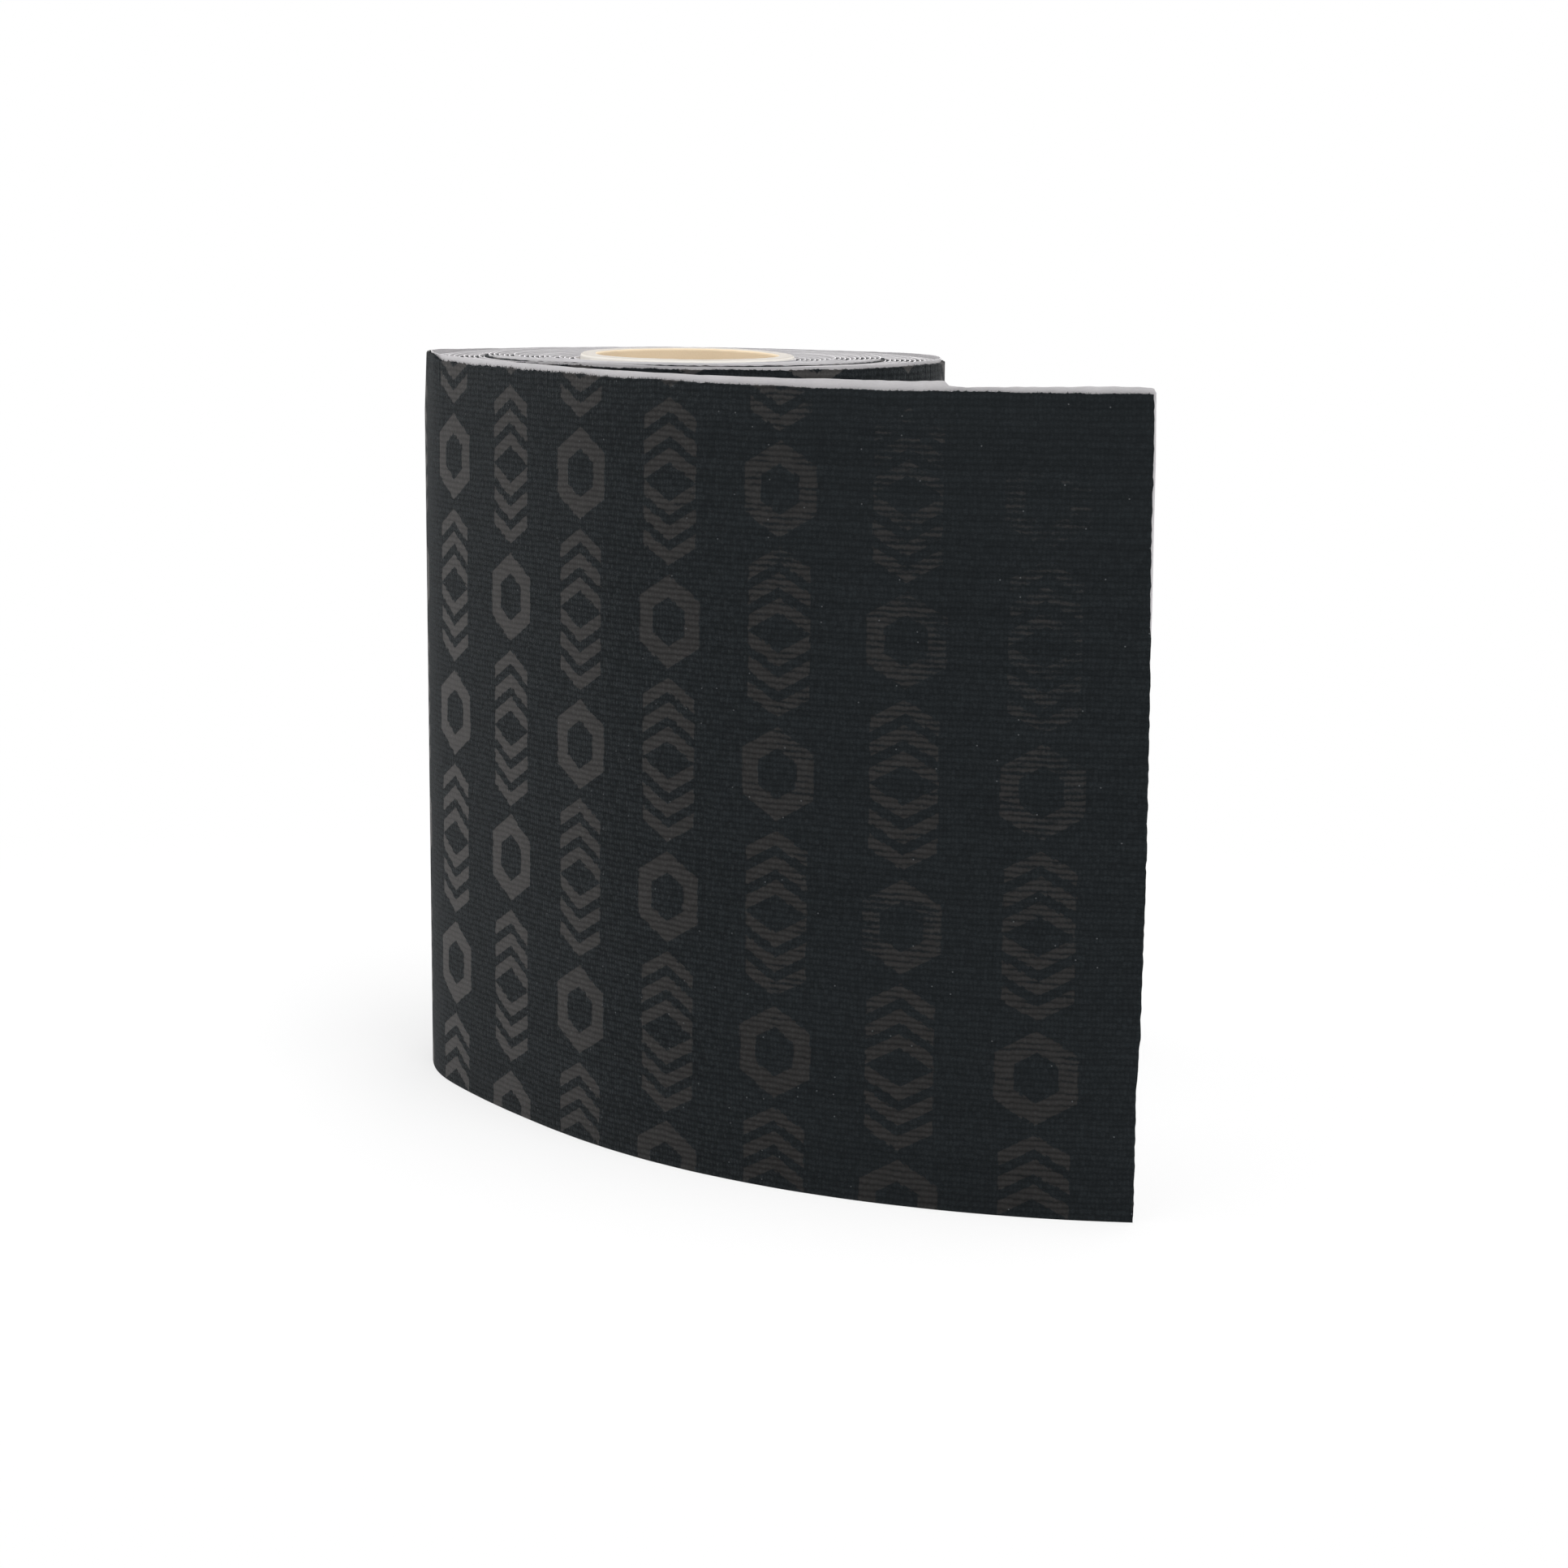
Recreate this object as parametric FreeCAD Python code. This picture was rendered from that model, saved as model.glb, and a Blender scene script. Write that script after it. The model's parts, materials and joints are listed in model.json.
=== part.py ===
import FreeCAD, Part
import math
import os
from collections import namedtuple

# A roll of elastic cloth tape: cloth, adhesive and paper release liner wound together on a
# paperboard core. The roll stands on one end, with its free end led off and standing beside it.
# +Z runs up the bore. The origin is the bore's centre at the lower end of the roll. The web is
# wound anticlockwise as seen from above, with its cloth facing outwards and its liner inwards.
# Sizes are in millimetres, and angles in degrees.

# The web's three plies
cloth_width = 100.0
cloth_thickness = 0.48
adhesive_thickness = 0.08
adhesive_margin = 0.4  # cloth left bare along each edge
liner_thickness = 0.14
wound_liner_overhang = 0.3  # liner above the cloth's upper edge, on the roll
free_liner_overhang = 1.1  # the same on the free end, where the cloth has drawn back

# The core and the strip that holds the web's inner end to it
core_bore = 25.4
core_wall = 2.3
core_overhang = 1.1  # core above the cloth's upper edge
starter_length = 15.0
starter_thickness = 0.1

# The winding
turns = 30
departure_angle = -154.0  # where the free end leaves the roll

# The free end: a lead-out that stays with the roll, then hinged panels
lead_out_length = 9.0
panel_length = 13.55
panel_count = 8
easy_panel_count = 2  # panels that bend as little as the lead-out does
easy_radius = 204.0
curl_radius = 97.0
hinge_gap = 0.3
lift_tab_length = 9.5  # cloth at the tip that lifts off the liner
release_gap = 0.02  # between the lift tab's adhesive and the liner

# Worked out from the sizes above
web_thickness = liner_thickness + adhesive_thickness + cloth_thickness
core_radius = core_bore / 2 + core_wall
adhesive_face = liner_thickness
cloth_face = liner_thickness + adhesive_thickness

# A bend turns left about its centre. Its radius is that of the liner's inner face, and its
# start and sweep are in radians. A ply's faces lie at offsets outwards from that face.
Bend = namedtuple("Bend", "centre radius start sweep")


def direction(angle):
    return FreeCAD.Vector(math.cos(angle), math.sin(angle), 0)


def spot(bend, share, offset):
    """The point a share of the way along a bend, at an offset from the liner's inner face."""
    angle = bend.start + share * bend.sweep
    return bend.centre + direction(angle) * (bend.radius + offset)


def carry_on(bend, radius, length):
    """The bend that follows on with the same tangent, of its own radius and length."""
    end = bend.start + bend.sweep
    centre = bend.centre + direction(end) * (bend.radius - radius)
    return Bend(centre, radius, end, length / radius)


def cut_back(bend, at_start, at_end):
    """The bend without a length at its start and another at its end."""
    start = bend.start + at_start / bend.radius
    sweep = bend.sweep - (at_start + at_end) / bend.radius
    return Bend(bend.centre, bend.radius, start, sweep)


def curved_edge(bend, offset):
    start, middle, end = (spot(bend, share, offset) for share in (0, 0.5, 1))
    return Part.Arc(start, middle, end).toShape()


def ply(bends, inner, outer, bottom, top):
    """A solid strip that follows the bends between two offsets and two heights."""
    first, last = bends[0], bends[-1]
    edges = [curved_edge(bend, inner) for bend in bends]
    edges.append(Part.makeLine(spot(last, 1, inner), spot(last, 1, outer)))
    edges.extend(curved_edge(bend, outer) for bend in reversed(bends))
    edges.append(Part.makeLine(spot(first, 0, outer), spot(first, 0, inner)))
    outline = Part.Face(Part.Wire(Part.__sortEdges__(edges)))
    outline.translate(FreeCAD.Vector(0, 0, bottom))
    return outline.extrude(FreeCAD.Vector(0, 0, top - bottom))


def liner(bends, overhang):
    return ply(bends, 0, adhesive_face, 0, cloth_width + overhang)


def adhesive(bends, inner=adhesive_face):
    return ply(bends, inner, cloth_face, adhesive_margin, cloth_width - adhesive_margin)


def cloth(bends):
    return ply(bends, cloth_face, web_thickness, 0, cloth_width)


def core():
    """A plain tube, cut square."""
    length = cloth_width + core_overhang
    tube = Part.makeCylinder(core_radius, length)
    return tube.cut(Part.makeCylinder(core_bore / 2, length))


def winding():
    """Half turns about two centres in turn, each wider than the last by half the web."""
    departure = math.radians(departure_angle)
    centre = FreeCAD.Vector(0, 0, 0)
    start = departure - 2 * math.pi * turns
    bends = [Bend(centre, core_radius + starter_thickness, start, math.pi)]
    while len(bends) < 2 * turns:
        radius = bends[-1].radius + web_thickness / 2
        bends.append(carry_on(bends[-1], radius, math.pi * radius))
    return bends


def starter(first_half_turn):
    """The double-sided strip between the core and the liner's first stretch."""
    inner_face = Bend(
        first_half_turn.centre,
        core_radius,
        first_half_turn.start,
        starter_length / core_radius,
    )
    return ply([inner_face], 0, starter_thickness, 0, cloth_width)


def free_end(last_half_turn):
    """The lead-out, and the bends of the panels that follow it."""
    lead_out = carry_on(last_half_turn, easy_radius, lead_out_length)
    bends = [lead_out]
    for number in range(panel_count):
        radius = easy_radius if number < easy_panel_count else curl_radius
        bends.append(carry_on(bends[-1], radius, panel_length))
    return lead_out, bends[1:]


def tape_roll():
    """Every node's name and solid."""
    half_gap = hinge_gap / 2
    half_turns = winding()
    lead_out, panels = free_end(half_turns[-1])
    wound = half_turns + [cut_back(lead_out, 0, half_gap)]
    nodes = {
        "core": core(),
        "core_starter_strip": starter(half_turns[0]),
        "wound_liner": liner(wound, wound_liner_overhang),
        "wound_adhesive": adhesive(wound),
        "wound_cloth": cloth(wound),
    }
    for number, panel in enumerate(panels, 1):
        is_tip = number == panel_count
        liner_bend = cut_back(panel, half_gap, 0 if is_tip else half_gap)
        cloth_bend = liner_bend
        if is_tip:
            cloth_bend = cut_back(panel, half_gap, lift_tab_length + half_gap)
        nodes[f"free_liner_{number}"] = liner([liner_bend], free_liner_overhang)
        nodes[f"free_adhesive_{number}"] = adhesive([cloth_bend])
        nodes[f"free_cloth_{number}"] = cloth([cloth_bend])
    tab_bend = cut_back(panels[-1], panel_length - lift_tab_length + half_gap, 0)
    nodes["lift_tab_adhesive"] = adhesive([tab_bend], adhesive_face + release_gap)
    nodes["lift_tab_cloth"] = cloth([tab_bend])
    return nodes


os.makedirs("parts", exist_ok=True)
for name, shape in tape_roll().items():
    shape.exportStep(f"parts/{name}.step")
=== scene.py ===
import json
import math
from collections import namedtuple

import bmesh
import bpy
import numpy as np
from mathutils import Euler, Matrix, Vector, noise


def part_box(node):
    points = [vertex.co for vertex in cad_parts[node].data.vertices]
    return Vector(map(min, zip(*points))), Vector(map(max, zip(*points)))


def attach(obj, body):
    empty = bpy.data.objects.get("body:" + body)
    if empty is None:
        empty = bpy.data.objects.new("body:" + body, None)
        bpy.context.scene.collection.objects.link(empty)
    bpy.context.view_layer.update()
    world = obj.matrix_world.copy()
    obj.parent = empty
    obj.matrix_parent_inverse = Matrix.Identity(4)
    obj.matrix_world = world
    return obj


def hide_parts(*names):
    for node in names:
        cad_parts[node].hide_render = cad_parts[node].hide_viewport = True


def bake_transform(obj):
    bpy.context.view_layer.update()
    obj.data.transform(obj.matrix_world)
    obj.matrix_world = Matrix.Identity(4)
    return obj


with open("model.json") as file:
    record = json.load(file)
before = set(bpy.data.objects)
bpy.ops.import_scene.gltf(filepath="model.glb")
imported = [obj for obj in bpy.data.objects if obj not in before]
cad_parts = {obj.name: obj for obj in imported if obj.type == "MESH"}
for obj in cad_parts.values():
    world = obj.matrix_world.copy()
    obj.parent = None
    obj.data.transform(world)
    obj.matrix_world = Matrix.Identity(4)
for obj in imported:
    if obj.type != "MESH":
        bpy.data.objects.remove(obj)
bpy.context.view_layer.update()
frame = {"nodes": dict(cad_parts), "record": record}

# A roll of black elastic cloth tape on a paper release liner, standing on one end with its free
# end led off. Every ply is first made flat, in the web's own coordinates: along it from where it
# leaves the roll (negative on the roll), outwards from the liner's inner face, and up. It is
# then wrapped onto the web's path. Everything is in metres and radians, unless a comment says
# millimetres.

MM = 0.001

# The web's plies, as offsets outwards from the liner's inner face
LINER = (0.0, 0.14 * MM)
ADHESIVE = (0.14 * MM, 0.22 * MM)
CLOTH = (0.22 * MM, 0.70 * MM)
LIFT_GAP = 0.02 * MM  # between the lift tab's adhesive and the liner

# The path: half turns about two centres, a lead-out, then the hinged panels
TURNS = 30
DEPARTURE = math.radians(-154)  # direction from the last half turn's centre to where it ends
STARTER_THICKNESS = 0.1 * MM  # so far outside the core the web starts
LEAD_OUT = 9.0 * MM
PANEL_LENGTH = 13.55 * MM
PANEL_COUNT = 8
EASY_PANEL_COUNT = 2  # the first panels, which bend as gently as the lead-out
EASY_RADIUS = 204 * MM
CURL_RADIUS = 97 * MM  # of the other panels
LIFT_TAB_LENGTH = 9.5 * MM
TAB_CREASE = (-0.65 * MM, 1.95 * MM)  # the stretch that bends, on both sides of the tab's hinge

# Heights and radii, from the frame
CORE_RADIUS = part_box("core")[1].x
CORE_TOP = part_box("core")[1].z
BORE_RADIUS = frame["record"]["mounts"][0]["dims"]["r_mm"] * MM
CLOTH_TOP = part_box("wound_cloth")[1].z
WOUND_LINER_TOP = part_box("wound_liner")[1].z
ADHESIVE_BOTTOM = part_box("wound_adhesive")[0].z
ADHESIVE_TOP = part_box("wound_adhesive")[1].z

# The weave: upright yarns crossed by level ones
UPRIGHT_PITCH = 0.5 * MM
LEVEL_PITCH = 0.75 * MM

# The print: a ring between two stacks of chevrons, in columns with a half drop
COLUMN_PITCH = 17 * MM
COLUMN_PHASE = 0.3  # of a column, by which all of them are moved along the web
REPEAT_HEIGHT = 35 * MM

# The print's outlines in millimetres from a figure's middle. Each fades between two distances.
RING_INSIDE = (2.65, 2.8)
RING_OUTSIDE = (5.0, 5.15)
STACK_SIDE = (4.3, 4.45)
STACK_START = (6.4, 6.5)
STACK_END = (15.6, 15.7)
CHEVRON_SLOPE = 0.55
CHEVRON_PITCH = 3.1
CHEVRON_EDGE = (0.26, 0.31)  # from its midline, as shares of the pitch


# ------------------------------------------------------------------------------ the web's path

Bend = namedtuple("Bend", "x y radius start sweep")  # turns left; radius to the liner's inner face


def carry_on(bend, radius, length):
    """The bend that follows on with the same tangent, of its own radius and length."""
    end = bend.start + bend.sweep
    shift = bend.radius - radius
    x = bend.x + shift * math.cos(end)
    y = bend.y + shift * math.sin(end)
    return Bend(x, y, radius, end, length / radius)


def web_path():
    """All the bends, and how far along each one starts."""
    first = Bend(0, 0, CORE_RADIUS + STARTER_THICKNESS, DEPARTURE - 2 * math.pi * TURNS, math.pi)
    bends = [first]
    while len(bends) < 2 * TURNS:
        radius = bends[-1].radius + CLOTH[1] / 2
        bends.append(carry_on(bends[-1], radius, math.pi * radius))
    wound = sum(bend.radius * bend.sweep for bend in bends)
    bends.append(carry_on(bends[-1], EASY_RADIUS, LEAD_OUT))
    for number in range(PANEL_COUNT):
        radius = EASY_RADIUS if number < EASY_PANEL_COUNT else CURL_RADIUS
        bends.append(carry_on(bends[-1], radius, PANEL_LENGTH))
    lengths = [bend.radius * bend.sweep for bend in bends]
    starts = np.cumsum([0] + lengths[:-1]) - wound
    return np.array(bends), starts


BENDS, BEND_STARTS = web_path()
WEB_START = BEND_STARTS[0]
WEB_END = LEAD_OUT + PANEL_COUNT * PANEL_LENGTH
HINGES = [LEAD_OUT + number * PANEL_LENGTH for number in range(PANEL_COUNT)]
TAB_HINGE = WEB_END - LIFT_TAB_LENGTH
LAST_TURN = BEND_STARTS[2 * TURNS - 2]  # where the outermost turn starts
FREE_START = HINGES[0] - LEAD_OUT / 2  # where the free end's strips start


def bend_at(along):
    """The number of the bend that each place along the web lies on."""
    return np.clip(np.searchsorted(BEND_STARTS, along, side="right") - 1, 0, len(BENDS) - 1)


def wrapped(web):
    """Points in web coordinates, moved to their places round the path."""
    along, outwards, up = web.T
    bend = bend_at(along)
    x, y, radius, start, _ = BENDS[bend].T
    angle = start + (along - BEND_STARTS[bend]) / radius
    reach = radius + outwards
    return np.column_stack((x + reach * np.cos(angle), y + reach * np.sin(angle), up))


def place_on_web(along):
    """Where the foot of the liner's inner face stands, that far along the web."""
    return wrapped(np.array([[along, 0.0, 0.0]]))[0]


# ------------------------------------------------------------------- unevenness of the plies

RANDOM = np.random.default_rng(11)
YARN_DRAWS = 20000  # more than there are upright yarns
YARN_RISE = RANDOM.uniform(0.0, 1.0, YARN_DRAWS) ** 1.5  # how far each cut end stands up
YARN_LEAN = RANDOM.uniform(-1.0, 1.0, YARN_DRAWS)  # where it is below 0, the yarn leans inwards
TURN_RISE = RANDOM.uniform(-0.07, 0.07, 2 * TURNS + PANEL_COUNT + 1) * MM  # one for each bend

Wave = namedtuple("Wave", "height length seed")  # the seed picks one of the noise's patterns
TURN_WAVE = Wave(0.06 * MM, 40 * MM, 3)  # of the turns in the pack
OVERHANG_WAVE = Wave(0.12 * MM, 25 * MM, 37)  # of the liner's overhang there
CLOTH_WAVE = Wave(0.13 * MM, 6 * MM, 7)  # of the cloth's upper edge where it is seen
FUZZ_WAVE = Wave(0.07 * MM, 0.4 * MM, 29)  # of all its cut yarns
HEM_WAVE = Wave(0.06 * MM, 6 * MM, 23)  # of its lower edge
BITE_WAVE = Wave(0.22 * MM, 1 * MM, 43)  # of the bites between cut yarns at the web's end
RAG_WAVES = (Wave(1.0, 5 * MM, 13), Wave(0.5, 1.3 * MM, 17))  # of the liner's edge, times its rag

TOOTH = 0.22 * MM  # the most that a cut yarn stands above the cloth's edge, by the roll
BY_THE_ROLL = ((-20 * MM, -5 * MM), (20 * MM, 60 * MM))  # where that stretch begins, and ends
SHORT_TOOTH = 0.1 * MM  # the most elsewhere
YARN_SWAY = 0.07 * MM  # the most that a cut yarn leans
YARN_TIP = (-0.3 * MM, 0.1 * MM)  # from the cloth's edge: where it begins to lean, and does fully
HEM_HEIGHT = 1 * MM  # what lies lower moves with the cloth's lower edge
HAIR_PITCH = 0.22 * MM
HAIR_TIP_RADIUS = 0.012 * MM
FRINGE_COMES = (-20 * MM, 0.0)  # where there are more and longer hairs
FRINGE_GOES = (30 * MM, 80 * MM)
FRINGE_LOSS = 0.9  # the share of them that is lost there
WOUND_OVERHANG = 0.22 * MM  # of the liner on the inner turns, past the cloth's swollen edge
RAG = 0.05 * MM  # how ragged the liner's edge is on the roll
TIP_RAG = 0.09 * MM  # how much more ragged it is towards the web's end
TOWARDS_TIP = (60 * MM, 100 * MM)  # where that begins and is full
CORNER = 0.6 * MM  # radius of the liner's top corner at the web's end
MOVED_ROWS = 0.95  # of a ply's height: the rows above this share move with the uneven edge
MOVE_FOOT = 0.9  # the share at which a move that grows towards the edge would begin

# The pack is dished: it stands proud at one turn, and falls away from there to the core
PROUD_RADIUS = 27.75 * MM
PROUD_RISE = 0.34 * MM
CORE_SIDE_RISE = -0.12 * MM
PROUD_FALL = 0.1 * MM  # the distance over which it drops outside that turn
DITCH_DEPTH = 0.06 * MM  # there
DITCH_SLOPE = (0.8 * MM, 2.2 * MM)  # outside that turn, where the ditch levels out

# How the cut edges wander on the outermost turn and the free end: places along the web, and
# heights there above the cloth's nominal edge, both in millimetres
LINER_PLACES = (-217, -205, -197, -189, -165, -145, -117, -98, -57, -42, -30, -24, -14, -6)
LINER_HEIGHTS = (0.3, 0.82, 0.72, 0.57, 0.51, 0.72, 0.59, 0.28, 0.28, 0.35, 0.6, 0.85, 1.02, 0.9)
LINER_PLACES += (57, 76, 86, 92.5, 93, 94.2, 95.2, 97, 106, 117)
LINER_HEIGHTS += (0.77, 0.94, 1.02, 1.27, 0.74, 0.53, 0.45, 0.55, 0.82, 0.88)
CLOTH_PLACES = (-217, -208, -200, -194, -185, -172, -160, -152, -145, -98, -50, -38, -30, -18)
CLOTH_HEIGHTS = (0.0, 0.55, 0.45, 0.32, 0.18, 0.16, 0.15, 0.12, 0.2, -0.03, -0.1, 0.05, 0.35, 0.8)
CLOTH_PLACES += (-6, -4.5, -2.5, 0, 8, 16, 35, 51, 84, 92, 112)
CLOTH_HEIGHTS += (0.75, 0.5, 0.05, -0.05, -0.1, 0.0, -0.08, -0.08, -0.13, -0.05, 0.09)

# The cut at the web's end: heights up it, and how far past the nominal end it lies there, both in
# millimetres
END_HEIGHTS = (0, 12, 17, 23, 34, 46, 58, 70, 76, 82, 94, 100)
END_REACHES = (0.23, 0.18, 0.21, 0.5, 0.56, 0.68, 0.58, 0.5, 0.33, 0.25, 0.27, 0.11)
END_STRETCH = 3 * MM  # the last stretch of the web, which the crooked cut moves
BITTEN_STRETCH = 1 * MM  # the last stretch of the cloth, which the bites move
LINER_END = (-0.25 * MM, 0.14 * MM)  # how far past the cut the liner reaches, below and above
ADHESIVE_END = (-0.45 * MM, -0.45 * MM)
UPPER_PART = (60 * MM, 80 * MM)  # heights between which the reach below becomes the one above

TAPER = 0.8 * MM  # how much further in the roll's left side lies at its foot than at its top
LEFT_SIDE = (CORE_RADIUS, 36 * MM)  # how far left of the axis the taper begins, and is full
TAPER_GOES = (-18 * MM, 6 * MM)  # the stretch of the web over which it ends
TUCK = 0.4 * MM  # how far the edge leans inwards where the free end leaves the roll
TUCKED = ((-60 * MM, -25 * MM), (-9 * MM, 0.0))  # where that comes, and where it goes
TUCK_HEIGHTS = (CLOTH_TOP + 0.1 * MM, CLOTH_TOP + 0.9 * MM)  # where it begins and is full


def smoothstep(value, low, high):
    """0 below low, 1 above high, and smooth between them."""
    share = np.clip((value - low) / (high - low), 0, 1)
    return share * share * (3 - 2 * share)


def comes_and_goes(value, rise, fall):
    """0 up to the first stretch, 1 between the two, and 0 again past the second."""
    return smoothstep(value, *rise) * (1 - smoothstep(value, *fall))


def noise_along(distance, wave):
    """Smooth noise from -1 to 1 over a distance, with features about as long as the wave."""
    places, which = np.unique(np.round(distance, 6), return_inverse=True)
    values = [noise.noise((place / wave.length, wave.seed, 0.5)) for place in places]
    return np.array(values)[which]


def sway(distance, wave):
    """How far a wave moves each place, either way."""
    return wave.height * noise_along(distance, wave)


def swell(distance, wave):
    """How far a wave moves each place, where it moves them one way only."""
    return wave.height * (0.5 + 0.5 * noise_along(distance, wave))


def turn_rise(along):
    """How far a turn stands above the pack's outer turns."""
    bend = bend_at(along)
    bend_radius = BENDS[bend, 2]
    growth = (along - BEND_STARTS[bend]) / math.pi / bend_radius * CLOTH[1] / 2
    outside = bend_radius + growth - PROUD_RADIUS
    dish = np.interp(outside, (CORE_RADIUS - PROUD_RADIUS, 0), (CORE_SIDE_RISE, PROUD_RISE))
    ditch = -DITCH_DEPTH * (1 - smoothstep(outside, *DITCH_SLOPE))
    proud = dish + (ditch - dish) * smoothstep(outside, 0, PROUD_FALL)
    uneven = np.interp(along, BEND_STARTS, TURN_RISE) + sway(along, TURN_WAVE)
    return proud + uneven


def cloth_edge(along):
    """Height of the cloth's upper edge: cut yarn ends on a wandering line."""
    yarn = (along - WEB_START) / UPRIGHT_PITCH
    share = yarn - np.floor(yarn)
    end = 1 - np.abs(2 * share - 1) ** 1.5
    longest = SHORT_TOOTH + (TOOTH - SHORT_TOOTH) * comes_and_goes(along, *BY_THE_ROLL)
    tooth = longest * YARN_RISE[yarn.astype(int)] * end
    drawn = MM * np.interp(along / MM, CLOTH_PLACES, CLOTH_HEIGHTS)
    line = np.where(along < LAST_TURN, turn_rise(along), drawn + sway(along, CLOTH_WAVE))
    return CLOTH_TOP + line + tooth + sway(along, FUZZ_WAVE)


def liner_edge(along):
    """Height of the liner's upper edge, which stands above the cloth's."""
    drawn = MM * np.interp(along / MM, LINER_PLACES, LINER_HEIGHTS)
    rag = RAG + TIP_RAG * smoothstep(along, *TOWARDS_TIP)
    ragged = sum(sway(along, wave) for wave in RAG_WAVES)
    from_corner = np.clip((along - WEB_END) / CORNER + 1, 0, 1)
    corner = CORNER * (1 - np.sqrt(1 - from_corner**2))
    overhang = WOUND_OVERHANG + sway(along, OVERHANG_WAVE)
    free_line = drawn + rag * ragged - corner
    return CLOTH_TOP + np.where(along < LAST_TURN, overhang + turn_rise(along), free_line)


def lifted_edge(web, top, edge):
    """Moves a flat ply's upper edge to the height that edge gives, and the rows just below it."""
    along, outwards, up = web.T
    moved = up > MOVED_ROWS * top
    share = smoothstep(up[moved], MOVE_FOOT * top, top)
    new_up = up.copy()
    new_up[moved] += (edge(along[moved]) - top) * share
    return np.column_stack((along, outwards, new_up))


def tuck(along, up):
    """How far inwards the web's upper edge leans, just before the free end leaves the roll."""
    return TUCK * comes_and_goes(along, *TUCKED) * smoothstep(up, *TUCK_HEIGHTS)


def cut_to_length(web, past=(0, 0)):
    """Gives a ply the web's crooked end. It may reach past it, in its lower and upper part."""
    along, outwards, up = web.T
    reach = MM * np.interp(up / MM, END_HEIGHTS, END_REACHES)
    reach += past[0] + (past[1] - past[0]) * smoothstep(up, *UPPER_PART)
    reach *= smoothstep(along, WEB_END - END_STRETCH, WEB_END)
    return np.column_stack((along + reach, outwards, up))


def frayed(web):
    """Cloth: cut yarns above and at the end, and a slightly wavy lower edge."""
    web = cut_to_length(lifted_edge(web, CLOTH_TOP, cloth_edge))
    along, outwards, up = web.T
    yarn = ((along - WEB_START) / UPRIGHT_PITCH).astype(int)
    seen = along > LAST_TURN
    tip = smoothstep(up, CLOTH_TOP + YARN_TIP[0], CLOTH_TOP + YARN_TIP[1])
    lean = YARN_SWAY * YARN_LEAN[yarn] * tip * seen
    hem = swell(along, HEM_WAVE) * (up < HEM_HEIGHT) * seen
    inwards = tuck(along, up) - np.minimum(lean, 0)
    bite = swell(up, BITE_WAVE) * smoothstep(along, WEB_END - BITTEN_STRETCH, WEB_END)
    return np.column_stack((along - bite, outwards - inwards, up + hem))


def trimmed(web):
    """Liner: a cut edge that wanders a little. At the end, only its upper part shows."""
    web = cut_to_length(lifted_edge(web, WOUND_LINER_TOP, liner_edge), LINER_END)
    along, outwards, up = web.T
    return np.column_stack((along, outwards - tuck(along, up), up))


def pulled_in(web):
    """Adhesive: square, and short of the cloth at the end."""
    return cut_to_length(web, ADHESIVE_END)


def tapered(placed, along):
    """Placed points of the web, drawn in towards the core at the left of the roll's foot."""
    x, y, up = placed.T
    on_roll = 1 - smoothstep(along, *TAPER_GOES)
    taper = TAPER * (1 - up / CLOTH_TOP) * smoothstep(-x, *LEFT_SIDE) * on_roll
    return np.column_stack((x + taper, y, up))


# ----------------------------------------------------------------------------- making pieces

CLOSE = 1e-7  # lengths nearer than this are the same
MOST_PARTS = 100  # that an edge is cut into at once
SHARP_ANGLE = math.radians(50)

# A ply: its finish's slot, the offsets of its two faces, its lower and upper edge, how much its
# long edges are rounded, what makes it uneven, and the side that shows (1 is outwards)
Ply = namedtuple("Ply", "slot depths heights rounding uneven shown")
LINER_PLY = Ply("liner", LINER, (0.0, WOUND_LINER_TOP), 0, trimmed, -1)
ADHESIVE_PLY = Ply("adhesive", ADHESIVE, (ADHESIVE_BOTTOM, ADHESIVE_TOP), 0, pulled_in, -1)
CLOTH_PLY = Ply("cloth", CLOTH, (0.0, CLOTH_TOP), 0.1 * MM, frayed, 1)

# The bands of the bake map. Each holds the faces that look one way: an axis and a sign, where
# outwards and 1 stand for the side that shows. Then come the axes that run across the band and
# up it, and its lower and upper end.
BAKE_BANDS = (
    ("outwards", 1, "along", "up", 0.16, 1.0),
    ("outwards", -1, "along", "up", 0.09, 0.15),
    ("up", 1, "along", "outwards", 0.06, 0.08),
    ("up", -1, "along", "outwards", 0.04, 0.055),
    ("along", 1, "up", "outwards", 0.02, 0.035),
    ("along", -1, "up", "outwards", 0.0, 0.015),
)


def cut_across(bm, axis, parts):
    """Cuts every edge that runs along an axis into that many equal parts, or a few more."""
    while parts > 1:
        step = parts if parts <= MOST_PARTS else round(parts**0.5)
        edges = []
        for edge in bm.edges:
            run = edge.verts[1].co - edge.verts[0].co
            if abs(run[axis]) > 0.9 * run.length:
                edges.append(edge)
        bmesh.ops.subdivide_edges(bm, edges=edges, cuts=step - 1, use_grid_fill=True)
        parts = math.ceil(parts / step)


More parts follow.
